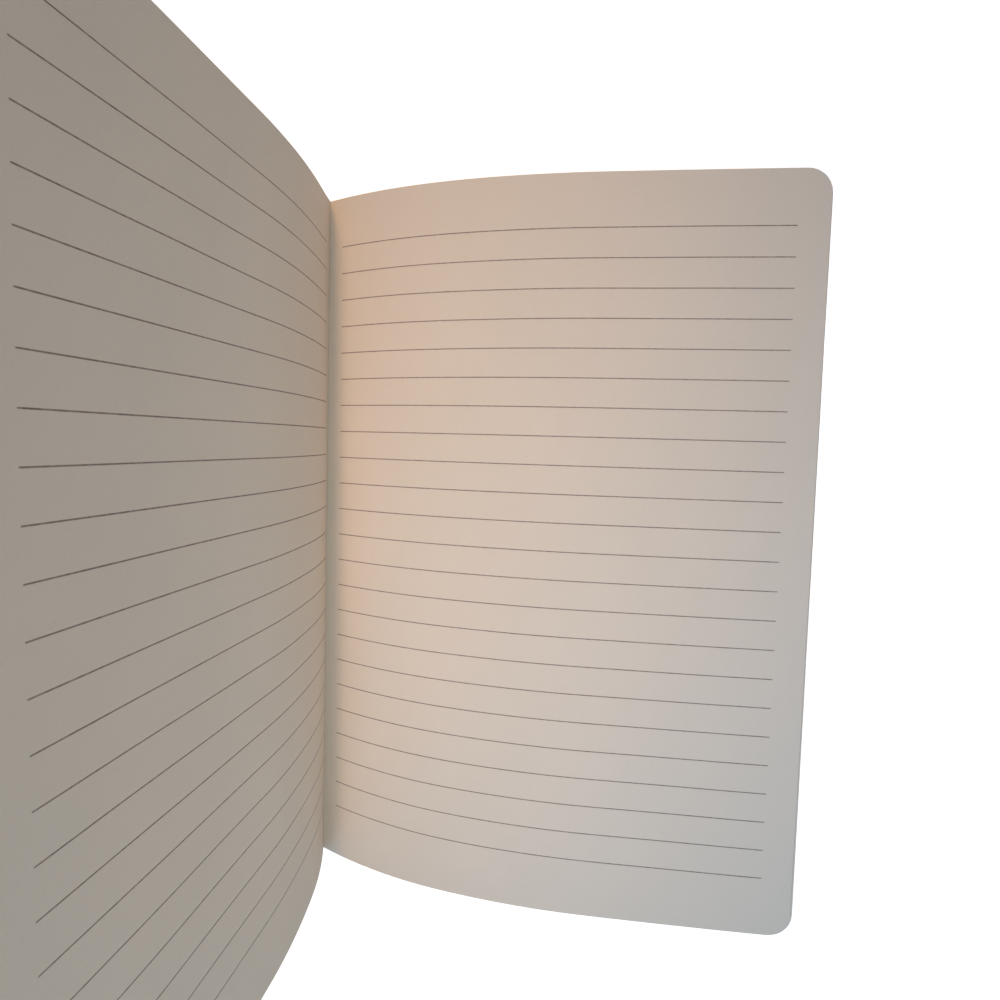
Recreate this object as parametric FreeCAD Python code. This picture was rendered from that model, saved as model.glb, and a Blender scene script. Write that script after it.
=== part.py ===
import FreeCAD, Part
import math
import os

# Open composition notebook, A5, lying on its back cover with its front half raised.
# Millimetres. +Z is up, +Y runs up the page along the spine, +X from the gutter to the fore-edge.
# The origin is the middle of the back cover's underside, on the table.

# Page size
page_height = 210.0
page_width = 148.0
corner_radius = 6.5

# Leaves, pressed together at the spine
right_thickness = 5.8
left_thickness = 3.9
root_depth = 1.2
left_root_angle = 64.0

# The gutter's place, which puts the origin in the middle of the back cover
gutter_x = root_depth - page_width / 2

# Section of the right-hand page from the gutter: start angle, then arcs of (length, turn)
right_start = 22.5
right_arcs = ((0.304 * page_width, -18.0), (0.304 * page_width, -12.1), (0.392 * page_width, -1.7))

# Section of the left-hand page, and of the outermost leaf beside the front cover
left_start = 63.9
left_arcs = ((0.169 * page_width, 8.9), (0.270 * page_width, 9.5), (0.561 * page_width, 0.0))
outer_start = 66.5
outer_arcs = ((0.169 * page_width, 8.3), (0.270 * page_width, 7.5), (0.561 * page_width, 0.0))

# Sheaves that the leaves part into: share of the thickness where each ends, share of the page's lift
right_sheaves = ((0.34, 0.0), (0.54, 0.13), (0.70, 0.31), (0.82, 0.52), (0.92, 0.77), (1.0, 1.0))
left_sheaves = ((0.28, 0.0), (0.54, 0.33), (0.78, 0.68), (1.0, 1.0))

# Fore-edges: how far each slants out, per millimetre of depth below the page
right_bevel = 0.12
left_bevel = 0.27

# Covers, glue and tape
board = 0.8
cover_gap = 0.3
glue = 0.4
tape = 0.3
tape_flap = 20.0

# Where the leaves are still held together beside the gutter
right_hold = 1.0
left_hold = 3.0
page_cover = 0.5

# Lengths that only keep cuts clear of the shape
reach = 30.0
root_overlap = 0.8
extra = 2.0
far = 300.0


def at(x, z):
    """Point of the section, x from the gutter, on the page's bottom edge."""
    return FreeCAD.Vector(gutter_x + x, -page_height / 2, z)


def direction(angle):
    return FreeCAD.Vector(math.cos(math.radians(angle)), 0, math.sin(math.radians(angle)))


def side(angle):
    return direction(angle + 90)


def curve(start, angle, arcs, offset=0.0):
    """Tangent arcs from start, as edges, offset to the left; returns the edges and the last point."""
    here = start + side(angle) * offset
    edges = []
    for length, turn in arcs:
        length = length - offset * math.radians(turn)
        chord = length
        if turn:
            half = math.radians(turn) / 2
            chord = length * math.sin(half) / half
        there = here + direction(angle + turn / 2) * chord
        if turn:
            bulge = length / math.radians(turn) * (1 - math.cos(half))
            middle = (here + there) / 2 - side(angle + turn / 2) * bulge
            edges.append(Part.Arc(here, middle, there).toShape())
        else:
            edges.append(Part.LineSegment(here, there).toShape())
        here = there
        angle = angle + turn
    return edges, here


def prism(edges):
    """Solid from a closed section, running up the whole page."""
    face = Part.Face(Part.Wire(edges))
    return face.extrude(FreeCAD.Vector(0, page_height, 0))


def polygon(*points):
    return prism(Part.makePolygon(list(points) + [points[0]]).Edges)


def band(start, angle, arcs, low, high):
    """Solid between two offsets of one curve."""
    lower, lower_end = curve(start, angle, arcs, low)
    upper, upper_end = curve(start, angle, arcs, high)
    first = Part.LineSegment(lower[0].Vertexes[0].Point, upper[0].Vertexes[0].Point).toShape()
    last = Part.LineSegment(lower_end, upper_end).toShape()
    return prism(Part.__sortEdges__(lower + [last] + upper + [first]))


def inside_of(first, second):
    """Everything on the leaves' side of the line through two points, far each way."""
    along = (second - first).normalize()
    across = FreeCAD.Vector(along.z, 0, -along.x)
    return polygon(first - along * far, first + along * far,
                   first + along * far + across * far, first - along * far + across * far)


def blend(first, second, share):
    """Arcs part way between two lists of arcs."""
    return [(a[0] + (b[0] - a[0]) * share, a[1] + (b[1] - a[1]) * share) for a, b in zip(first, second)]


def lengthen(arcs, before, after):
    """Adds straight lengths before the first arc and after the last."""
    return [(before, 0.0)] + list(arcs) + [(after, 0.0)]


def crossing(p, along, q, beside):
    """Where the line through p meets the line through q."""
    gap = q - p
    share = (gap.x * beside.z - gap.z * beside.x) / (along.x * beside.z - along.z * beside.x)
    return p + along * share


def rounded_prism(end, along, depth, back):
    """Solid under a sheet outline with two rounded corners, whose far edge passes through end."""
    half = page_height / 2
    r = corner_radius
    across = FreeCAD.Vector(0, 1, 0)
    middle = FreeCAD.Vector(end.x, 0, end.z) - depth * reach
    corners = []
    for sign in (-1, 1):
        square = middle + across * (sign * half)
        centre = square - along * r - across * (sign * r)
        on_edge = centre + along * r
        on_side = centre + across * (sign * r)
        bulge = centre + (along + across * sign) * (r / math.sqrt(2))
        corners.append((on_side, bulge, on_edge))
    (low_side, low_bulge, low_edge), (high_side, high_bulge, high_edge) = corners
    low_back = low_side - along * back
    high_back = high_side - along * back
    outline = Part.Wire([
        Part.LineSegment(low_back, low_side).toShape(),
        Part.Arc(low_side, low_bulge, low_edge).toShape(),
        Part.LineSegment(low_edge, high_edge).toShape(),
        Part.Arc(high_edge, high_bulge, high_side).toShape(),
        Part.LineSegment(high_side, high_back).toShape(),
        Part.LineSegment(high_back, low_back).toShape(),
    ])
    return Part.Face(outline).extrude(depth * (2 * reach))


def save(name, shape):
    shape = shape.removeSplitter()
    if shape.ShapeType != "Solid" and len(shape.Solids) == 1:
        shape = shape.Solids[0]
    shape.exportStep(os.path.join("parts", name + ".step"))


os.makedirs("parts", exist_ok=True)

# Spine line: up from the back cover to the gutter, then across to the outermost left-hand leaf
foot = at(0, board)
gutter = at(0, board + right_thickness)
crown = gutter + side(left_root_angle) * left_thickness
spine_out = direction(left_root_angle) * -1
inner_bend = 1 / math.cos(math.radians(left_root_angle / 2))


def spine_points(depth):
    """Foot, bend and crown of the spine line moved out from the leaves by this depth."""
    bend_way = direction(180 + left_root_angle / 2)
    return (
        foot + FreeCAD.Vector(-depth, 0, 0),
        gutter + bend_way * (depth * inner_bend),
        crown + spine_out * depth,
    )


root_foot, root_bend, root_crown = spine_points(root_depth)
glue_foot, glue_bend, glue_crown = spine_points(root_depth + glue)
tape_foot, tape_bend, tape_crown = spine_points(root_depth + glue + tape)

# Pages: right-hand sheaves lie on the back cover and fan up to the open page
flat_arcs = [(length, 0.0) for length, turn in right_arcs]
sheaves = []
low_share = 0.0
for high_share, lift in right_sheaves:
    angle = right_start * lift
    arcs = lengthen(blend(flat_arcs, right_arcs, lift), root_overlap, extra)
    start = foot + (gutter - foot) * high_share - direction(angle) * root_overlap
    thickness = (high_share - low_share) * right_thickness
    sheaves.append(band(start, angle, arcs, -thickness, 0.0))
    low_share = high_share

right_end = curve(gutter, right_start, right_arcs)[1]
right_trim = rounded_prism(right_end, FreeCAD.Vector(1, 0, 0), FreeCAD.Vector(right_bevel, 0, -1),
                           far)
right_half = sheaves[0].multiFuse(sheaves[1:]).common(right_trim)

# Pages: left-hand sheaves stand against the front cover and fan out to the open page
sheaves = []
low_share = 0.0
for high_share, lean in left_sheaves:
    angle = outer_start + (left_start - outer_start) * lean
    arcs = lengthen(blend(outer_arcs, left_arcs, lean), root_overlap, extra)
    start = crown + (gutter - crown) * high_share - direction(angle) * root_overlap
    thickness = (high_share - low_share) * left_thickness
    sheaves.append(band(start, angle, arcs, 0.0, thickness))
    low_share = high_share

left_end = curve(gutter, left_start, left_arcs)[1]
left_lean = left_start + sum(turn for length, turn in left_arcs)
left_up = direction(left_lean)
left_trim = rounded_prism(left_end, left_up, side(left_lean) + left_up * left_bevel, far)
left_half = sheaves[0].multiFuse(sheaves[1:]).common(left_trim)

# Pages: the root where every leaf is held
root = polygon(
    root_foot,
    foot + FreeCAD.Vector(right_hold, 0, 0),
    foot + FreeCAD.Vector(right_hold, 0, right_thickness - page_cover),
    gutter,
    gutter + direction(outer_start) * left_hold,
    crown + direction(left_root_angle) * left_hold,
    crown,
    root_crown,
    root_bend,
)
pages = root.multiFuse([right_half, left_half])
save("pages", pages)

# Spine glue
save("spine_glue", polygon(root_foot, glue_foot, glue_bend, glue_crown, root_crown, root_bend))

# Back cover, with a pressed step under it for the tape
flap_end = tape_flap - root_depth
back_board = polygon(
    at(-root_depth, board),
    at(-root_depth, tape),
    at(flap_end, tape),
    at(flap_end, 0),
    at(page_width + extra, 0),
    at(page_width + extra, board),
)
save("back_cover", back_board.common(right_trim))

# Front cover, following the outermost leaf
shell_start = crown - direction(outer_start) * (root_depth + glue + extra)
shell_arcs = lengthen(outer_arcs, root_depth + glue + extra, extra)
shell = band(shell_start, outer_start, shell_arcs, cover_gap, cover_gap + board)
above_spine = inside_of(glue_bend, glue_crown)
outer_face = cover_gap + board
flap_length, flap_turn = outer_arcs[0]
flap_share = (tape_flap - root_depth - glue) / flap_length
flap_arcs = [(root_depth + glue + extra, 0.0), (flap_length * flap_share, flap_turn * flap_share)]
flap = band(shell_start, outer_start, flap_arcs, outer_face - tape, outer_face)
front_board = shell.common(above_spine).common(left_trim).cut(flap)
save("front_cover", front_board)

# Spine tape: one strip from under the back cover, round the spine and onto the front cover
shell_edge = shell_start + side(outer_start) * outer_face
spine_way = glue_crown - glue_bend
inner_corner = crossing(glue_bend, spine_way, shell_edge, direction(outer_start))
outer_corner = crossing(tape_bend, spine_way, shell_edge, direction(outer_start))
wrap = polygon(
    at(flap_end, 0),
    at(-root_depth - glue - tape, 0),
    tape_bend,
    outer_corner,
    inner_corner,
    glue_bend,
    at(-root_depth - glue, tape),
    at(flap_end, tape),
)
save("spine_tape", wrap.fuse(flap.common(inside_of(tape_bend, tape_crown))))
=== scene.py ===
import math
import random

import bpy
from mathutils import Matrix, Vector, noise


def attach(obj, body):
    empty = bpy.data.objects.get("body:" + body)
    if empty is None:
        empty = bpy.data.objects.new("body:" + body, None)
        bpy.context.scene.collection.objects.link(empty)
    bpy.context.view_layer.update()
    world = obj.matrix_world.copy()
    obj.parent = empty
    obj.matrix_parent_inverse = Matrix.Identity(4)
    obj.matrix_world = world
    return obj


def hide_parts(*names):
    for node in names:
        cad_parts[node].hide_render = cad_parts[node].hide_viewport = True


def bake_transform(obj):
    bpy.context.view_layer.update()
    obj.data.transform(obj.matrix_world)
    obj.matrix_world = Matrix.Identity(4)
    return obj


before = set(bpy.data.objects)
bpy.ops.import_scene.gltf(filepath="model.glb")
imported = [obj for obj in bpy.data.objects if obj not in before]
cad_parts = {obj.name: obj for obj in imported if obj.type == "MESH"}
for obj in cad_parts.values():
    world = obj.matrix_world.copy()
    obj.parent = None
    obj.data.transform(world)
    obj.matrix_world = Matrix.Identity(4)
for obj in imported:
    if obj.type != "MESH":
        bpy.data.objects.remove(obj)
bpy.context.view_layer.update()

random.seed(7)

# Sizes in millimetres, as in the part's source; meshes are scaled to metres
MM = 0.001
PAGE_HEIGHT = 210.0
PAGE_WIDTH = 148.0
CORNER_RADIUS = 6.5
RIGHT_THICKNESS = 5.8
LEFT_THICKNESS = 3.9
ROOT_DEPTH = 1.2
ROOT_OVERLAP = 0.8
LEFT_ROOT_ANGLE = 64.0
GUTTER_X = ROOT_DEPTH - PAGE_WIDTH / 2
BOARD = 0.8
COVER_GAP = 0.3
GLUE = 0.4
TAPE = 0.3
TAPE_FLAP = 20.0
EXTRA = 2.0

# Sections: start angle, then arcs of (length, turn)
RIGHT_START = 22.5
RIGHT_ARCS = ((0.304 * PAGE_WIDTH, -18.0), (0.304 * PAGE_WIDTH, -12.1), (0.392 * PAGE_WIDTH, -1.7))
FLAT_ARCS = tuple((length, 0.0) for length, turn in RIGHT_ARCS)
LEFT_START = 63.9
LEFT_ARCS = ((0.169 * PAGE_WIDTH, 8.9), (0.270 * PAGE_WIDTH, 9.5), (0.561 * PAGE_WIDTH, 0.0))
OUTER_START = 66.5
OUTER_ARCS = ((0.169 * PAGE_WIDTH, 8.3), (0.270 * PAGE_WIDTH, 7.5), (0.561 * PAGE_WIDTH, 0.0))
RIGHT_SHEAVES = ((0.34, 0.0), (0.54, 0.13), (0.70, 0.31), (0.82, 0.52), (0.92, 0.77), (1.0, 1.0))
LEFT_SHEAVES = ((0.28, 0.0), (0.54, 0.33), (0.78, 0.68), (1.0, 1.0))
RIGHT_BEVEL = 0.12
LEFT_BEVEL = 0.27

# Leaves: thickness of one with its air and of the paper alone, ranges of the uneven cut at the fore-edge and
# at head and tail, the least run that the cut works on, and how far the last two leaves of a sheaf bend
# towards the sheaf below
LEAF_PITCH = 0.1
LEAF_PAPER = 0.084
LEAF_SLIP = (-0.10, 0.02)
LEAF_TRIM = (-0.05, 0.09)
LEAST_RUN = 0.2
LEAF_BETWEEN = (0.22, 0.5)

# Meshes: columns of the open page, the leaf under it and the other leaves, the step along the section, and
# the angle in degrees above which an edge is sharp
PAGE_COLUMNS, SECOND_COLUMNS, LEAF_COLUMNS = 84, 14, 10
PAGE_STEP, LEAF_STEP = 2.0, 4.0
SHARP_ANGLE = 35.0

# How strongly cut edges are darkened: on the leaves a darker tone of the cut paper, on the open page painted
# shade for the shadowed gap along its fore-edge
PAGE_EDGE_SHADE = 1.0
LEAF_RIM = 0.4

# Waves of a leaf: their height, where they set in, and (length along, length up, place in the noise)
PAGE_WAVE = 0.3
WAVE_ONSET = (4.0, 60.0)
BROAD_WAVE = (62.0, 48.0, 3.1)
FINE_WAVE = (27.0, 30.0, 8.7)

# The second right-hand leaf is turned a little in its own plane: amount, share at mid height, and its change
SECOND_LEAF_SKEW = 0.45
SKEW_MIDDLE = 0.4
SKEW_CHANGE = 0.6

# Twist of the raised half: terms in the height up the page (-1 to 1), at the root, near it and further out
TWIST_ROOT = (0.10, 1.32, 0.89)
TWIST_NEAR = (-0.07, 0.06, 0.04)
TWIST_FAR = (-0.09, 0.50, -1.45)
TWIST_ROOT_REACH = 12.0
TWIST_REACH = 120.0
TWIST_AT_COVER = 0.6

# Ruling, measured from the middle of the page and from the gutter
RULE_TOP = 90.26
RULE_PITCH = 8.13
RULE_COUNT = 23
RULE_START = 6.0
RULE_END = 139.45
RULE_WIDTH = 0.28
RULE_FADE = 0.3

# The raised page's lines sit higher: how much at the gutter, and how much of it is lost at the fore-edge
LEFT_RULE_RISE = 0.88
LEFT_RULE_FALL = 0.53

# Covers and tape: columns of the mesh, rounding of the edges, run of the pressed step, radius of the tape's
# bends, and the least gap from a bend to the next row
COVER_COLUMNS = 24
COVER_EDGE = 0.12
STEP_RUN = 0.06
TAPE_COLUMNS = 70
TAPE_EDGE = 0.05
TAPE_CORNER = 0.34
TAPE_GAP = 0.4

# Root of the leaves: how far it reaches between them, how far it stays below them and inside their ends, and
# rows of its mesh
ROOT_TUCK = 0.3
ROOT_BELOW = 0.05
ROOT_INSET = 0.15
ROOT_ROWS = 60

# Weave of the tape
WEAVE_PITCH = 0.62

# Floor, in metres, and how white the camera sees it
FLOOR_REACH = 3.0
FLOOR_DROP = 0.00005
FLOOR_LIFT = 0.68

# Lamps: name, place, aim, cone in degrees, size, colour, power
LAMPS = (
    ("key", (160.0, 545.0, 1174.0), (-88.0, 40.0, 10.0), 20.0, 80.0, (1.0, 0.53, 0.23), 26.0),
    ("cool", (190.0, -420.0, 1180.0), (95.0, -70.0, 10.0), 28.0, 170.0, (0.24, 0.57, 1.0), 18.0),
    ("side", (600.0, -330.0, 1080.0), (-80.0, -30.0, 5.0), 24.0, 170.0, (0.93, 0.98, 1.0), 27.5),
)
SKY_COLOUR = (0.97, 0.99, 1.0, 1.0)
SKY_STRENGTH = 0.25
WHITE = (1.0, 1.0, 1.0, 1.0)

# Camera, placed from the gutter; the lens is for a square sensor
CAMERA_FROM_GUTTER = (118.46, 30.55, 217.25)
CAMERA_AXIS = (-0.26813, -0.07337, -0.96058)
CAMERA_UP = (-0.04682, 0.99691, -0.06308)
CAMERA_LENS = 27.0
CAMERA_SENSOR = 36.0


def direction(angle):
    return Vector((math.cos(math.radians(angle)), 0.0, math.sin(math.radians(angle))))


def side(angle):
    return direction(angle + 90.0)


def smooth(low, high, value):
    part = min(1.0, max(0.0, (value - low) / (high - low)))
    return part * part * (3 - 2 * part)


FOOT = Vector((GUTTER_X, 0.0, BOARD))
GUTTER = Vector((GUTTER_X, 0.0, BOARD + RIGHT_THICKNESS))
CROWN = GUTTER + side(LEFT_ROOT_ANGLE) * LEFT_THICKNESS


# Sections


def walk(start, angle, arcs, step=3.0, gone=0.0):
    """Points of tangent arcs from start, as rows of (distance, point, angle)."""
    rows = [(gone, start.copy(), angle)]
    for length, turn in arcs:
        count = max(1, math.ceil(length / step), math.ceil(abs(turn) / 6))
        here = rows[-1][1].copy()
        for i in range(1, count + 1):
            part = i / count
            half = math.radians(turn * part) / 2
            chord = length * part * (math.sin(half) / half if abs(half) > 1e-9 else 1.0)
            point = here + direction(angle + turn * part / 2) * chord
            rows.append((gone + length * part, point, angle + turn * part))
        gone += length
        angle += turn
    return rows


def shift(rows, offset):
    """The same rows moved to the left of their direction."""
    return [(s, point + side(angle) * offset, angle) for s, point, angle in rows]


def between(before, after, part):
    return (
        before[0] + (after[0] - before[0]) * part,
        before[1].lerp(after[1], part),
        before[2] + (after[2] - before[2]) * part,
    )


def cut(rows, beyond):
    """Rows up to the place where beyond(point) reaches zero."""
    kept = [rows[0]]
    for before, after in zip(rows, rows[1:]):
        low, high = beyond(before[1]), beyond(after[1])
        if high >= 0:
            kept.append(between(before, after, low / (low - high)))
            return kept
        kept.append(after)
    return kept


def with_marks(rows, marks):
    """Rows with more of them at these distances."""
    out = list(rows)
    for mark in marks:
        for before, after in zip(rows, rows[1:]):
            if before[0] + 1e-4 < mark < after[0] - 1e-4:
                out.append(between(before, after, (mark - before[0]) / (after[0] - before[0])))
    return sorted(out, key=lambda row: row[0])


def through_corner(rows, parts=7):
    """Rows drawn closer together where the outline is rounded."""
    end = rows[-1][0]
    turns = [math.pi / 2 * i / parts for i in range(parts)]
    return with_marks(rows, [end - CORNER_RADIUS * (1 - math.sin(turn)) for turn in turns])


def mix_arcs(first, second, part):
    return tuple((a[0] + (b[0] - a[0]) * part, a[1] + (b[1] - a[1]) * part)
                 for a, b in zip(first, second))


RIGHT_END = walk(GUTTER, RIGHT_START, RIGHT_ARCS)[-1][1]
LEFT_ROWS = walk(GUTTER, LEFT_START, LEFT_ARCS)
LEFT_END = LEFT_ROWS[-1][1]
LEFT_LEAN = LEFT_ROWS[-1][2]


def past_right(point):
    return point.x - RIGHT_END.x - RIGHT_BEVEL * (RIGHT_END.z - point.z)


def past_left(point):
    apart = point - LEFT_END
    return apart.dot(direction(LEFT_LEAN)) - LEFT_BEVEL * apart.dot(side(LEFT_LEAN))


def half_height(s, end):
    """Half of a sheet's height at this distance, with its outer corners rounded."""
    full = PAGE_HEIGHT / 2
    into = s - (end - CORNER_RADIUS)
    if into <= 0:
        return full
    into = min(into, CORNER_RADIUS)
    return full - CORNER_RADIUS + math.sqrt(CORNER_RADIUS**2 - into**2)


def rounded_half(end, trim=0.0):
    return lambda s: half_height(s, end) - trim


def quadratic(terms, t):
    return terms[0] + terms[1] * t + terms[2] * t * t


def left_lean(s, y, height):
    """How far the raised half stands outward from its section, as it is twisted along the spine."""
    if s <= 0:
        return 0.0
    t = y / (PAGE_HEIGHT / 2)

    # Distance in units of 100 mm, levelling off at TWIST_REACH
    far = s / (1 + (s / TWIST_REACH) ** 6) ** (1 / 6) / 100
    root = quadratic(TWIST_ROOT, t) * (1 - math.exp(-s / TWIST_ROOT_REACH))
    body = quadratic(TWIST_NEAR, t) * far + quadratic(TWIST_FAR, t) * far * far
    return (root + body) * (TWIST_AT_COVER + (1 - TWIST_AT_COVER) * height)


def left_rule_shift(s):
    return LEFT_RULE_RISE - LEFT_RULE_FALL * s / PAGE_WIDTH


# Meshes


def add_piece(name, mesh, material, body):
    mesh.materials.append(material)
    mesh.update()
    piece = bpy.data.objects.new(name, mesh)
    bpy.context.scene.collection.objects.link(piece)
    if body:
        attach(piece, body)
    return piece


class Sheets:
    """Collects closed thin sheets into one mesh, with the distance along and up each sheet kept as UVs."""

    def __init__(self, rule_shift=None):
        self.rule_shift = rule_shift or (lambda s: 0.0)
        self.points = []
        self.faces = []
        self.places = []
        self.rim = []
        self.face_rim = []

    def add_vertex(self, row, y, offset, rim, move):
        s, point, angle = row
        place = point + side(angle) * offset + Vector((0.0, y, 0.0))
        if move:
            place = place + move(s, y, angle)
        self.points.append(place * MM)
        self.places.append((s * MM, (y - self.rule_shift(s)) * MM))
        self.rim.append(rim)
        return len(self.points) - 1

    def add(self, rows, low, high, columns, half, edge=0.0, move=None, cut_rim=0.0):
        """One sheet between offsets low(s) and high(s), reaching half(s) up and down from the middle.

        edge is how far its edges are rounded off, move(s, y, angle) moves its points, and cut_rim is how
        strongly its cut edges are marked as a rim.
        """
        first, last = rows[0][0], rows[-1][0]
        rows = [(s, point.copy(), angle) for s, point, angle in rows]
        if edge:
            s, point, angle = rows[0]
            rows[0] = (s, point + direction(angle) * edge, angle)
            s, point, angle = rows[-1]
            rows[-1] = (s, point - direction(angle) * edge, angle)
        grids = []
        for offset in (high, low):
            grid = []
            for row in rows:
                reach = half(row[0]) - edge
                rim = cut_rim if row is rows[-1] else 0.0
                line = []
                for j in range(columns + 1):
                    y = (j / columns * 2 - 1) * reach
                    line.append(self.add_vertex(row, y, offset(row[0]), rim, move))
                grid.append(line)
            grids.append(grid)
        top, bottom = grids
        count = len(rows)
        self.face_rim += [0.0] * (2 * (count - 1) * columns)
        for i in range(count - 1):
            for j in range(columns):
                self.faces.append((top[i][j], top[i + 1][j], top[i + 1][j + 1], top[i][j + 1]))
                self.faces.append((bottom[i][j], bottom[i][j + 1], bottom[i + 1][j + 1], bottom[i + 1][j]))
        around = [(i, 0) for i in range(count)]
        around += [(count - 1, j) for j in range(1, columns + 1)]
        around += [(i, columns) for i in range(count - 2, -1, -1)]
        around += [(0, j) for j in range(columns - 1, 0, -1)]
        rings = [[top[i][j] for i, j in around]]
        if edge:
            outline = [(rows[i][0], (j / columns * 2 - 1) * (half(rows[i][0]) - edge)) for i, j in around]
            outline = [(min(max(s, first + edge), last - edge), y) for s, y in outline]
            outward = []
            for k in range(len(around)):
                before, after = outline[k - 1], outline[(k + 1) % len(outline)]
                along = Vector((after[0] - before[0], after[1] - before[1]))
                outward.append(Vector((along.y, -along.x)).normalized())
            for offset, inset in ((high, -edge), (low, edge)):
                ring = []
                for (i, j), out, (_, y) in zip(around, outward, outline):
                    s, point, angle = rows[i]
                    row = (s, point + direction(angle) * out.x * edge, angle)
                    ring.append(self.add_vertex(row, y + out.y * edge, offset(s) + inset, 1.0, move))
                rings.append(ring)
        rings.append([bottom[i][j] for i, j in around])
        for upper, lower in zip(rings, rings[1:]):
            for k in range(len(upper)):
                n = (k + 1) % len(upper)
                self.faces.append((upper[k], lower[k], lower[n], upper[n]))
                self.face_rim.append(cut_rim)

    def build(self, name, body, material):
        mesh = bpy.data.meshes.new(name)
        mesh.from_pydata([tuple(p) for p in self.points], [], self.faces)
        uv = mesh.uv_layers.new(name="sheet")
        for loop in mesh.loops:
            uv.data[loop.index].uv = self.places[loop.vertex_index]
        rim = mesh.attributes.new("rim", "FLOAT", "CORNER")
        for face, least in zip(mesh.polygons, self.face_rim):
            for loop in face.loop_indices:
                rim.data[loop].value = max(least, self.rim[mesh.loops[loop].vertex_index])
        mesh.validate()
        mesh.polygons.foreach_set("use_smooth", [True] * len(mesh.polygons))
        mesh.set_sharp_from_angle(angle=math.radians(SHARP_ANGLE))
        return add_piece(name, mesh, material, body)


# Materials


def srgb(red, green, blue, alpha=1.0):
    """A colour given as 0 to 255, made linear."""
    out = []
    for value in (red, green, blue):
        value = value / 255
        out.append(value / 12.92 if value <= 0.04045 else ((value + 0.055) / 1.055) ** 2.4)
    return (*out, alpha)


class Nodes:
    """A material's node tree, with short calls for the nodes used here."""

    def __init__(self, name):
        self.material = bpy.data.materials.new(name)
        self.material.use_nodes = True
        self.tree = self.material.node_tree
        self.tree.nodes.clear()
        self.shader = self.tree.nodes.new("ShaderNodeBsdfPrincipled")
        output = self.tree.nodes.new("ShaderNodeOutputMaterial")
        self.link(self.shader.outputs["BSDF"], output.inputs["Surface"])

    def link(self, source, target):
        self.tree.links.new(source, target)

    def feed(self, socket, value):
        if isinstance(value, bpy.types.NodeSocket):
            self.link(value, socket)
        else:
            socket.default_value = value

    def math(self, operation, *values, clamp=False):
        node = self.tree.nodes.new("ShaderNodeMath")
        node.operation = operation
        node.use_clamp = clamp
        for socket, value in zip(node.inputs, values):
            self.feed(socket, value)
        return node.outputs[0]

    def ramp(self, value, low, high, to_low=0.0, to_high=1.0, smoothly=False):
        node = self.tree.nodes.new("ShaderNodeMapRange")
        node.interpolation_type = "SMOOTHSTEP" if smoothly else "LINEAR"
        node.clamp = True
        for name, given in zip(("Value", "From Min", "From Max", "To Min", "To Max"),
                               (value, low, high, to_low, to_high)):
            self.feed(node.inputs[name], given)
        return node.outputs["Result"]

    def mix(self, factor, first, second, kind="MIX"):
        node = self.tree.nodes.new("ShaderNodeMix")
        node.data_type = "RGBA"
        node.blend_type = kind
        self.feed(node.inputs["Factor"], factor)
        self.feed(node.inputs["A"], first)
        self.feed(node.inputs["B"], second)
        return node.outputs["Result"]

    def place(self, scale=(1.0, 1.0, 1.0)):
        where = self.tree.nodes.new("ShaderNodeTexCoord")
        node = self.tree.nodes.new("ShaderNodeMapping")
        node.inputs["Scale"].default_value = scale
        self.link(where.outputs["Object"], node.inputs["Vector"])
        return node.outputs["Vector"]

    def noise(self, where, scale, detail=2.0, roughness=0.5):
        node = self.tree.nodes.new("ShaderNodeTexNoise")
        node.inputs["Scale"].default_value = scale
        node.inputs["Detail"].default_value = detail
        node.inputs["Roughness"].default_value = roughness
        self.link(where, node.inputs["Vector"])
        return node.outputs["Fac"]

    def warped(self, where, scale, amount):
        """The same place, moved a little this way and that."""
        node = self.tree.nodes.new("ShaderNodeTexNoise")
        node.inputs["Scale"].default_value = scale
        self.link(where, node.inputs["Vector"])
        moved = self.tree.nodes.new("ShaderNodeVectorMath")
        moved.operation = "MULTIPLY_ADD"
        self.link(node.outputs["Color"], moved.inputs[0])
        moved.inputs[1].default_value = (amount, amount, amount)
        self.link(where, moved.inputs[2])
        return moved.outputs["Vector"]

    def bump(self, height, distance, strength=1.0):
        node = self.tree.nodes.new("ShaderNodeBump")
        node.inputs["Strength"].default_value = strength
        node.inputs["Distance"].default_value = distance
        self.link(height, node.inputs["Height"])
        self.link(node.outputs["Normal"], self.shader.inputs["Normal"])

    def attribute(self, name):
        node = self.tree.nodes.new("ShaderNodeAttribute")
        node.attribute_name = name
        return node.outputs["Fac"]

    def sheet_place(self):
        """Distance from the gutter, and height on the page, in metres."""
        uv = self.tree.nodes.new("ShaderNodeUVMap")
        uv.uv_map = "sheet"
        parts = self.tree.nodes.new("ShaderNodeSeparateXYZ")
        self.link(uv.outputs["UV"], parts.inputs["Vector"])
        return parts.outputs["X"], parts.outputs["Y"]


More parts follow.
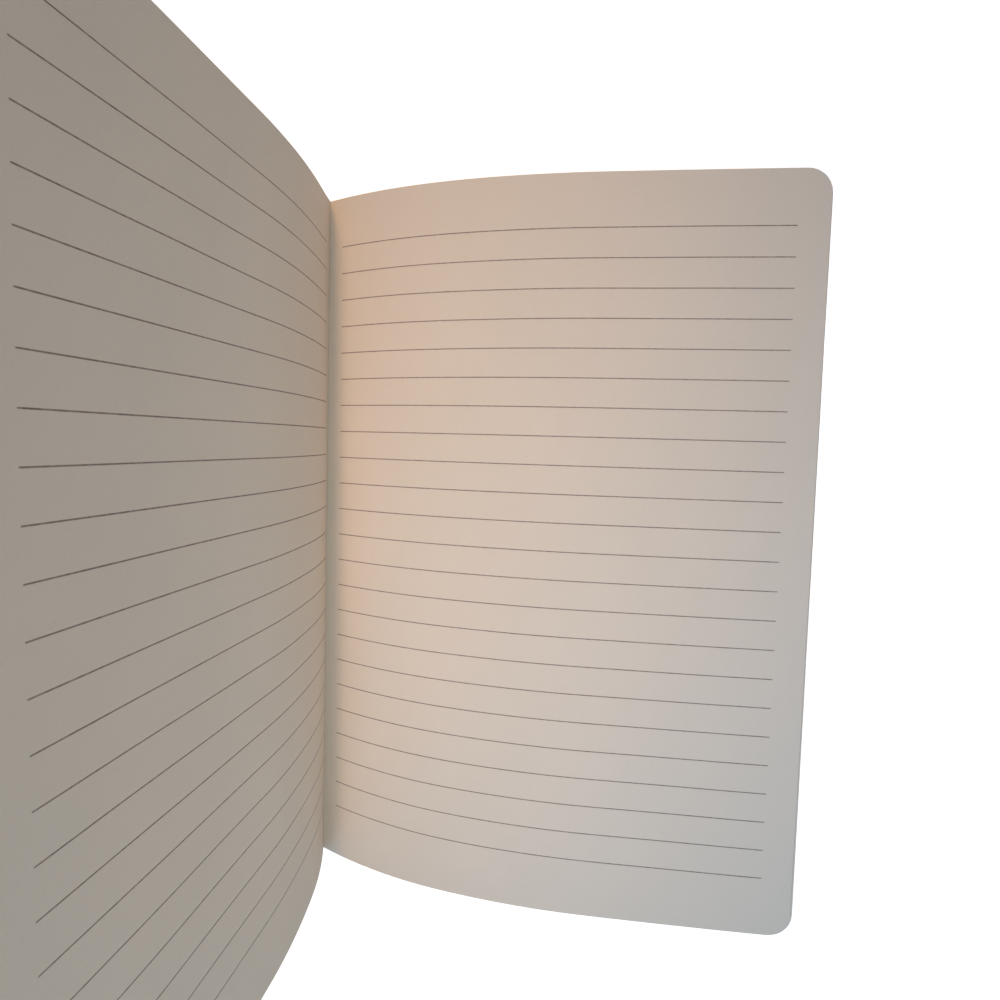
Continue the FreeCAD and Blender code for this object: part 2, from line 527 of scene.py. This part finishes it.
def paper_material():
    m = Nodes("page_paper")
    ivory, warm_ivory = srgb(222, 213, 200), srgb(225, 215, 202)
    fibre_brown, fleck_brown = srgb(190, 180, 166), srgb(172, 158, 138)
    cut_tone_and_shade_brown, ink_brown = srgb(112, 102, 92), srgb(106, 88, 78)
    where = m.place()
    cloud = m.noise(where, 45.0, 3.0, 0.6)
    fibre = m.noise(where, 2600.0, 3.0, 0.65)
    fleck = m.noise(where, 900.0, 2.0, 0.5)
    tint = m.mix(m.ramp(cloud, 0.3, 0.7), ivory, warm_ivory)
    tint = m.mix(m.ramp(fibre, 0.35, 0.75, 0.0, 0.12), tint, fibre_brown)
    tint = m.mix(m.ramp(fleck, 0.68, 0.78, 0.0, 0.10), tint, fleck_brown)

    # Cut edges, a little darker than the face: the paper's own edge tone, and along the open page's
    # fore-edge painted shade for the shadowed gap to the leaf below
    tint = m.mix(m.ramp(m.attribute("rim"), 0.0, 1.0, 0.0, 0.75), tint, cut_tone_and_shade_brown)

    # Ruled lines, a little uneven in the ink
    along, up = m.sheet_place()
    step = m.math("DIVIDE", m.math("SUBTRACT", RULE_TOP * MM, up), RULE_PITCH * MM)
    off = m.math("ABSOLUTE", m.math("SUBTRACT", m.math("FRACT", m.math("ADD", step, 0.5)), 0.5))
    width = RULE_WIDTH / RULE_PITCH / 2
    ink = m.ramp(off, width * 0.55, width * 1.45, 1.0, 0.0, True)
    counted = m.math("MULTIPLY", m.math("GREATER_THAN", step, -0.5),
                     m.math("LESS_THAN", step, RULE_COUNT - 0.5))
    ends = m.math("MULTIPLY", m.ramp(along, (RULE_START - RULE_FADE) * MM, RULE_START * MM),
                  m.ramp(along, RULE_END * MM, (RULE_END + RULE_FADE) * MM, 1.0, 0.0))
    ink = m.math("MULTIPLY", ink, m.math("MULTIPLY", counted, ends))
    ink = m.math("MULTIPLY", ink, m.ramp(fleck, 0.3, 0.7, 0.68, 0.92))
    tint = m.mix(ink, tint, ink_brown)

    m.feed(m.shader.inputs["Base Color"], tint)
    m.feed(m.shader.inputs["Roughness"], m.ramp(fibre, 0.3, 0.7, 0.78, 0.92))
    m.shader.inputs["Specular IOR Level"].default_value = 0.25
    grain = m.math("ADD", m.math("MULTIPLY", fibre, 0.6), m.math("MULTIPLY", fleck, 0.4))
    m.bump(grain, 0.00002, 0.7)
    return m.material


def card_material():
    m = Nodes("cover_card")
    charcoal, pale_charcoal, groove_shade_black = srgb(44, 45, 49), srgb(53, 54, 58), srgb(20, 20, 22)
    scuff_grey, worn_brown = srgb(98, 97, 96), srgb(128, 119, 108)
    where = m.place()
    pebble = m.tree.nodes.new("ShaderNodeTexVoronoi")
    pebble.feature = "SMOOTH_F1"
    pebble.inputs["Scale"].default_value = 1050.0
    pebble.inputs["Smoothness"].default_value = 0.6
    m.link(m.warped(where, 700.0, 0.0005), pebble.inputs["Vector"])
    pores = m.ramp(pebble.outputs["Distance"], 0.1, 0.8, 1.0, 0.0, True)
    grain = m.noise(where, 2400.0, 3.0, 0.6)
    cloud = m.noise(where, 28.0, 3.0, 0.6)
    scuff = m.noise(m.place((1.0, 0.35, 1.0)), 320.0, 4.0, 0.7)
    tint = m.mix(m.ramp(cloud, 0.3, 0.7), charcoal, pale_charcoal)
    # Painted shade: the grooves between the pebbles are darkened
    tint = m.mix(m.ramp(pores, 0.0, 1.0, 0.55, 0.0), tint, groove_shade_black)
    tint = m.mix(m.ramp(scuff, 0.66, 0.80, 0.0, 0.20), tint, scuff_grey)
    rim = m.attribute("rim")
    worn = m.math("MULTIPLY", m.ramp(rim, 0.15, 0.9), m.ramp(scuff, 0.25, 0.65, 0.45, 1.0))
    tint = m.mix(worn, tint, worn_brown)
    m.feed(m.shader.inputs["Base Color"], tint)
    rough = m.math("ADD", m.ramp(pores, 0.0, 1.0, 0.66, 0.46),
                   m.ramp(grain, 0.3, 0.7, -0.05, 0.05))
    m.feed(m.shader.inputs["Roughness"], rough)
    m.shader.inputs["Specular IOR Level"].default_value = 0.42
    height = m.math("ADD", m.math("MULTIPLY", pores, 0.8), m.math("MULTIPLY", grain, 0.2))
    m.bump(height, 0.00009, 0.75)
    return m.material


def cloth_material():
    m = Nodes("tape_cloth")
    hollow_shade_black, thread_grey = srgb(20, 20, 22), srgb(66, 65, 66)
    faded_grey, frayed_grey = srgb(60, 58, 58), srgb(92, 88, 84)
    along, up = m.sheet_place()
    where = m.place()
    drift = m.ramp(m.noise(where, 160.0, 2.0, 0.5), 0.0, 1.0, -0.9, 0.9)
    turns = 2 * math.pi / (WEAVE_PITCH * MM)
    warp = m.math("SINE", m.math("ADD", m.math("MULTIPLY", up, turns), drift))
    weft = m.math("SINE", m.math("ADD", m.math("MULTIPLY", along, turns), drift))
    weave = m.math("MULTIPLY", warp, weft)
    fuzz = m.noise(where, 3200.0, 3.0, 0.6)
    cloud = m.noise(where, 60.0, 2.0, 0.5)
    height = m.math("ADD", m.math("MULTIPLY", weave, 0.6), m.math("MULTIPLY", fuzz, 0.4))
    # Thread tone, with painted shade darkening the hollows between the threads
    tint = m.mix(m.ramp(height, -0.3, 0.8), hollow_shade_black, thread_grey)
    tint = m.mix(m.ramp(cloud, 0.4, 0.8, 0.0, 0.3), tint, faded_grey)
    tint = m.mix(m.ramp(m.attribute("rim"), 0.0, 1.0, 0.0, 0.35), tint, frayed_grey)
    m.feed(m.shader.inputs["Base Color"], tint)
    m.feed(m.shader.inputs["Roughness"], m.ramp(height, -0.5, 1.0, 0.9, 0.68))
    m.shader.inputs["Specular IOR Level"].default_value = 0.3
    m.shader.inputs["Sheen Weight"].default_value = 0.15
    m.bump(height, 0.00010, 0.8)
    return m.material


def glue_material():
    m = Nodes("binding_glue")
    amber, dark_amber = srgb(205, 193, 165), srgb(188, 172, 140)
    where = m.place()
    lumps = m.noise(where, 420.0, 3.0, 0.6)
    cloud = m.noise(where, 90.0, 2.0, 0.5)
    m.feed(m.shader.inputs["Base Color"], m.mix(m.ramp(cloud, 0.3, 0.7), amber, dark_amber))
    m.feed(m.shader.inputs["Roughness"], m.ramp(lumps, 0.3, 0.7, 0.35, 0.6))
    m.bump(lumps, 0.00015, 0.5)
    return m.material


paper = paper_material()
card = card_material()
cloth = cloth_material()
binding_glue = glue_material()


# Leaves


def wave_noise(s, y, along, up, seed):
    return noise.noise(Vector((s / along, y / up, seed)))


def page_wave(s, y, height):
    """How far a leaf waves from its section, for a leaf at this share of the block's height."""
    field = wave_noise(s, y, *BROAD_WAVE) + 0.5 * wave_noise(s, y, *FINE_WAVE)
    return PAGE_WAVE * field * smooth(*WAVE_ONSET, s) * height


def mover(height, raised, skew):
    """Moves a leaf's points by its wave and lean, and by a slight turn of the leaf in its own plane."""
    def move(s, y, angle):
        out = page_wave(s, y, height)
        if raised:
            out += left_lean(s, y, height)
        slip = skew * (SKEW_MIDDLE - SKEW_CHANGE * y / (PAGE_HEIGHT / 2)) * s / PAGE_WIDTH
        return side(angle) * out + direction(angle) * slip
    return move


def leaf_rows(start, angle, arcs, offset, past, step):
    arcs = ((ROOT_OVERLAP, 0.0), *arcs, (EXTRA, 0.0))
    rows = walk(start - direction(angle) * ROOT_OVERLAP, angle, arcs, step, -ROOT_OVERLAP)
    return through_corner(cut(shift(rows, offset), past))


def add_leaf(sheets, rows, raised, columns, height, trim=0.0, skew=0.0, cut_rim=LEAF_RIM):
    """One leaf, whose paper lies on the far side of the section from the reader."""
    low, high = (0.0, LEAF_PAPER) if raised else (-LEAF_PAPER, 0.0)
    sheets.add(rows, lambda s: low, lambda s: high, columns, rounded_half(rows[-1][0], trim),
               move=mover(height, raised, skew), cut_rim=cut_rim)


def build_half(name, raised, base, thickness, sheaves, page_curve, low_curve, past):
    """The open page as a piece of its own, and every leaf under it as another.

    A curve is (start angle, arcs). The leaves go from low_curve, at base, to page_curve, at the gutter.
    """
    page_angle, page_arcs = page_curve
    low_angle, low_arcs = low_curve
    inward = 1 if raised else -1
    rule_shift = left_rule_shift if raised else None
    page = Sheets(rule_shift)
    under = Sheets(rule_shift)
    low_share = 0.0
    for number, (high_share, lift) in enumerate(sheaves):
        last = number == len(sheaves) - 1
        below = sheaves[number - 1][1] if number else lift
        depth = (high_share - low_share) * thickness
        count = round(depth / LEAF_PITCH)
        start = base + (GUTTER - base) * high_share
        for k in range(count):
            height = high_share - k * depth / count / thickness
            own = lift
            if number and k >= count - 2:
                own = lift + (below - lift) * LEAF_BETWEEN[k - (count - 2)]
            angle = low_angle + (page_angle - low_angle) * own
            arcs = mix_arcs(low_arcs, page_arcs, own)
            is_page = last and k == 0
            rows = leaf_rows(start, angle, arcs, inward * k * depth / count, past,
                             PAGE_STEP if is_page else LEAF_STEP)
            if is_page:
                # The open page's cut edges carry painted shade, for the shadowed gap along its fore-edge
                add_leaf(page, rows, raised, PAGE_COLUMNS, 1.0, cut_rim=PAGE_EDGE_SHADE)
            elif last and k == 1:
                add_leaf(under, rows, raised, SECOND_COLUMNS, height,
                         skew=0.0 if raised else SECOND_LEAF_SKEW)
            else:
                slip = random.uniform(*LEAF_SLIP)
                run = max(LEAST_RUN, rows[-1][0] - rows[-2][0])
                rows[-1] = between(rows[-2], rows[-1], 1 + slip / run)
                add_leaf(under, rows, raised, LEAF_COLUMNS, height, random.uniform(*LEAF_TRIM))
        low_share = high_share
    page.build(name + "_page", "block", paper)
    leaves = under.build(name + "_leaves", "block", paper)
    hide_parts("pages")


build_half("right", False, FOOT, RIGHT_THICKNESS, RIGHT_SHEAVES,
           (RIGHT_START, RIGHT_ARCS), (0.0, FLAT_ARCS), past_right)
build_half("left", True, CROWN, LEFT_THICKNESS, LEFT_SHEAVES,
           (LEFT_START, LEFT_ARCS), (OUTER_START, OUTER_ARCS), past_left)


# Root of the leaves, where the glue holds them


def spine_points(depth):
    """Foot, bend and crown of the spine line moved out from the leaves by this depth."""
    way = direction(180 + LEFT_ROOT_ANGLE / 2)
    return (
        FOOT + Vector((-depth, 0.0, 0.0)),
        GUTTER + way * (depth / math.cos(math.radians(LEFT_ROOT_ANGLE / 2))),
        CROWN - direction(LEFT_ROOT_ANGLE) * depth,
    )


def prism(name, section, half, body, material):
    """A closed section run up the page. Its UVs are all zero, where the paper has no ink."""
    points, faces = [], []
    for i in range(ROOT_ROWS + 1):
        y = (i / ROOT_ROWS * 2 - 1) * half
        points += [(p.x * MM, y * MM, p.z * MM) for p in section]
    n = len(section)
    for i in range(ROOT_ROWS):
        for k in range(n):
            a, b = i * n + k, i * n + (k + 1) % n
            faces.append((a, a + n, b + n, b))
    faces.append(tuple(range(n)))
    faces.append(tuple(reversed(range(ROOT_ROWS * n, ROOT_ROWS * n + n))))
    mesh = bpy.data.meshes.new(name)
    mesh.from_pydata(points, [], faces)
    mesh.uv_layers.new(name="sheet", do_init=False)
    mesh.validate()
    return add_piece(name, mesh, material, body)


root_foot, root_bend, root_crown = spine_points(ROOT_DEPTH)
tape_foot, tape_bend, _ = spine_points(ROOT_DEPTH + GLUE + TAPE)
root_section = [
    root_foot,
    root_bend,
    root_crown,
    CROWN + direction(OUTER_START) * ROOT_TUCK,
    GUTTER + direction(LEFT_START) * ROOT_TUCK + side(LEFT_START) * ROOT_BELOW,
    GUTTER + Vector((0.0, 0.0, -ROOT_BELOW)),
    FOOT + Vector((ROOT_TUCK, 0.0, RIGHT_THICKNESS - 2 * ROOT_BELOW)),
    FOOT + Vector((ROOT_TUCK, 0.0, 0.0)),
]
root = prism("leaf_root", root_section, PAGE_HEIGHT / 2 - ROOT_INSET, "block", paper)
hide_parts("pages")


# Covers


back_rows = walk(Vector((root_foot.x, 0.0, 0.0)), 0.0, ((PAGE_WIDTH + EXTRA, 0.0),), step=4.0)
back_rows = through_corner(cut(back_rows, past_right))
back_rows = with_marks(back_rows, (TAPE_FLAP, TAPE_FLAP + STEP_RUN))
back = Sheets()
back.add(back_rows, lambda s: TAPE if s <= TAPE_FLAP else 0.0, lambda s: BOARD,
         COVER_COLUMNS, rounded_half(back_rows[-1][0]), COVER_EDGE)
back_board = back.build("back_board_card", "back_board", card)
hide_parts("back_cover")

shell_lead = ROOT_DEPTH + GLUE
shell_start = CROWN - direction(OUTER_START) * shell_lead
shell_arcs = ((shell_lead, 0.0), *OUTER_ARCS, (EXTRA, 0.0))
shell_rows = walk(shell_start, OUTER_START, shell_arcs, gone=-shell_lead)
outer_face = COVER_GAP + BOARD
front_rows = through_corner(cut(shift(shell_rows, COVER_GAP), past_left))
flap_s = TAPE_FLAP - shell_lead
front_rows = with_marks(front_rows, (flap_s, flap_s + STEP_RUN))
front = Sheets()
front.add(front_rows, lambda s: 0.0, lambda s: BOARD - (TAPE if s <= flap_s else 0.0),
          COVER_COLUMNS, rounded_half(front_rows[-1][0]), COVER_EDGE,
          lambda s, y, angle: side(angle) * left_lean(s, y, 0.0))
front_board = front.build("front_board_card", "front_board", card)
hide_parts("front_cover")


# Spine tape, in two lengths that meet at the bend in the spine


def tape_half(s):
    return PAGE_HEIGHT / 2


flap_end = root_foot.x + TAPE_FLAP
back_tape_arcs = (
    (flap_end - tape_foot.x - TAPE_CORNER, 0.0),
    (TAPE_CORNER * math.pi / 2, -90.0),
    (tape_bend.z - TAPE_CORNER, 0.0),
)
back_tape_rows = walk(Vector((flap_end, 0.0, 0.0)), 180.0, back_tape_arcs, step=1.5)
lower = Sheets()
lower.add(back_tape_rows, lambda s: -TAPE, lambda s: 0.0, TAPE_COLUMNS, tape_half, TAPE_EDGE)
tape_back = lower.build("spine_tape_back", None, cloth)
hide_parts("spine_tape")
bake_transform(tape_back)

# Where the flap lies on the front cover, up to its end
outer_rows = shift(shell_rows, outer_face)
flap_rows = [row for row in outer_rows if 0.0 < row[0] < flap_s]
before, after = flap_rows[-1], next(row for row in outer_rows if row[0] >= flap_s)
flap_rows.append(between(before, after, (flap_s - before[0]) / (after[0] - before[0])))

# The outer corner, where the line up the spine meets the cover's face
spine_angle = LEFT_ROOT_ANGLE + 90.0
shell_edge = shell_start + side(OUTER_START) * outer_face
spine_way = direction(spine_angle)
cover_way = direction(OUTER_START)
gap = shell_edge - tape_bend
across = spine_way.x * cover_way.z - spine_way.z * cover_way.x
to_corner = (gap.x * cover_way.z - gap.z * cover_way.x) / across
turn = OUTER_START - spine_angle
back_off = TAPE_CORNER * math.tan(math.radians(-turn) / 2)
front_arcs = ((to_corner - back_off, 0.0), (TAPE_CORNER * math.radians(-turn), turn))
front_tape_rows = walk(tape_bend, spine_angle, front_arcs, step=1.0)
s_from_place = front_tape_rows[-1][0] - front_tape_rows[-1][1].dot(cover_way)
for _, point, angle in flap_rows:
    if (point - front_tape_rows[-1][1]).dot(cover_way) > TAPE_GAP:
        front_tape_rows.append((point.dot(cover_way) + s_from_place, point, angle))
flap_gap = front_tape_rows[-1][0] - flap_s
upper = Sheets()
upper.add(front_tape_rows, lambda s: -TAPE, lambda s: 0.0, TAPE_COLUMNS, tape_half, TAPE_EDGE,
          lambda s, y, angle: side(angle) * left_lean(s - flap_gap, y, 0.0))
tape_front = upper.build("spine_tape_front", None, cloth)
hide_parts("spine_tape")
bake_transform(tape_front)

for glue_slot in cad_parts["spine_glue"].material_slots:
    glue_slot.material = binding_glue


# Floor


def floor_material():
    m = Nodes("floor")
    where = m.place()
    mottle = m.noise(where, 6.0, 2.0, 0.5)
    tint = m.mix(mottle, srgb(236, 236, 236), srgb(240, 240, 240))
    m.feed(m.shader.inputs["Base Color"], tint)
    m.shader.inputs["Roughness"].default_value = 0.9
    m.shader.inputs["Specular IOR Level"].default_value = 0.1
    rays = m.tree.nodes.new("ShaderNodeLightPath")
    seen = m.math("MAXIMUM", rays.outputs["Is Camera Ray"],
                  m.math("MAXIMUM", rays.outputs["Is Glossy Ray"], rays.outputs["Is Transmission Ray"]))
    m.shader.inputs["Emission Color"].default_value = WHITE
    m.feed(m.shader.inputs["Emission Strength"], m.math("MULTIPLY", seen, FLOOR_LIFT))
    return m.material


floor_mesh = bpy.data.meshes.new("floor")
floor_mesh.from_pydata(
    [(x * FLOOR_REACH, y * FLOOR_REACH, -FLOOR_DROP) for x, y in ((-1, -1), (1, -1), (1, 1), (-1, 1))],
    [], [(0, 1, 2, 3)],
)
floor_mesh.materials.append(floor_material())
floor = bpy.data.objects.new("floor", floor_mesh)
bpy.context.scene.collection.objects.link(floor)


# Light


def lamp_at(name, place, aim, cone, size, colour, power):
    """A soft spot lamp that fades all the way from its middle."""
    lamp = bpy.data.lights.new(name, "SPOT")
    lamp.color = colour
    lamp.energy = power
    lamp.spot_size = math.radians(cone)
    lamp.spot_blend = 1.0
    lamp.shadow_soft_size = size * MM
    way = (Vector(place) - Vector(aim)).normalized()
    item = bpy.data.objects.new(name, lamp)
    item.location = Vector(place) * MM
    item.rotation_mode = "QUATERNION"
    item.rotation_quaternion = way.to_track_quat("Z", "Y")
    bpy.context.scene.collection.objects.link(item)


for lamp_row in LAMPS:
    lamp_at(*lamp_row)

# The world: the sky that lights the object, and plain white where the camera sees it
world = bpy.data.worlds.new("studio")
world.use_nodes = True
tree = world.node_tree
plain = tree.nodes["Background"]
plain.inputs["Color"].default_value = SKY_COLOUR
plain.inputs["Strength"].default_value = SKY_STRENGTH
white = tree.nodes.new("ShaderNodeBackground")
white.inputs["Color"].default_value = WHITE
rays = tree.nodes.new("ShaderNodeLightPath")
either = tree.nodes.new("ShaderNodeMath")
either.operation = "MAXIMUM"
both = tree.nodes.new("ShaderNodeMixShader")
tree.links.new(rays.outputs["Is Camera Ray"], either.inputs[0])
tree.links.new(rays.outputs["Is Transmission Ray"], either.inputs[1])
tree.links.new(either.outputs[0], both.inputs["Fac"])
tree.links.new(plain.outputs["Background"], both.inputs[1])
tree.links.new(white.outputs["Background"], both.inputs[2])
tree.links.new(both.outputs["Shader"], tree.nodes["World Output"].inputs["Surface"])
bpy.context.scene.world = world


# Camera

axis = Vector(CAMERA_AXIS).normalized()
right = axis.cross(Vector(CAMERA_UP)).normalized()
up = right.cross(axis).normalized()
camera_data = bpy.data.cameras.new("camera")
camera_data.lens = CAMERA_LENS
camera_data.sensor_width = CAMERA_SENSOR
camera_data.clip_start = 0.01
camera_data.clip_end = 20.0
camera = bpy.data.objects.new("camera", camera_data)
place = (GUTTER + Vector(CAMERA_FROM_GUTTER)) * MM
camera.matrix_world = Matrix((
    (right.x, up.x, -axis.x, place.x),
    (right.y, up.y, -axis.y, place.y),
    (right.z, up.z, -axis.z, place.z),
    (0.0, 0.0, 0.0, 1.0),
))
bpy.context.scene.collection.objects.link(camera)
bpy.context.scene.camera = camera
bpy.context.scene.view_settings.view_transform = "Standard"
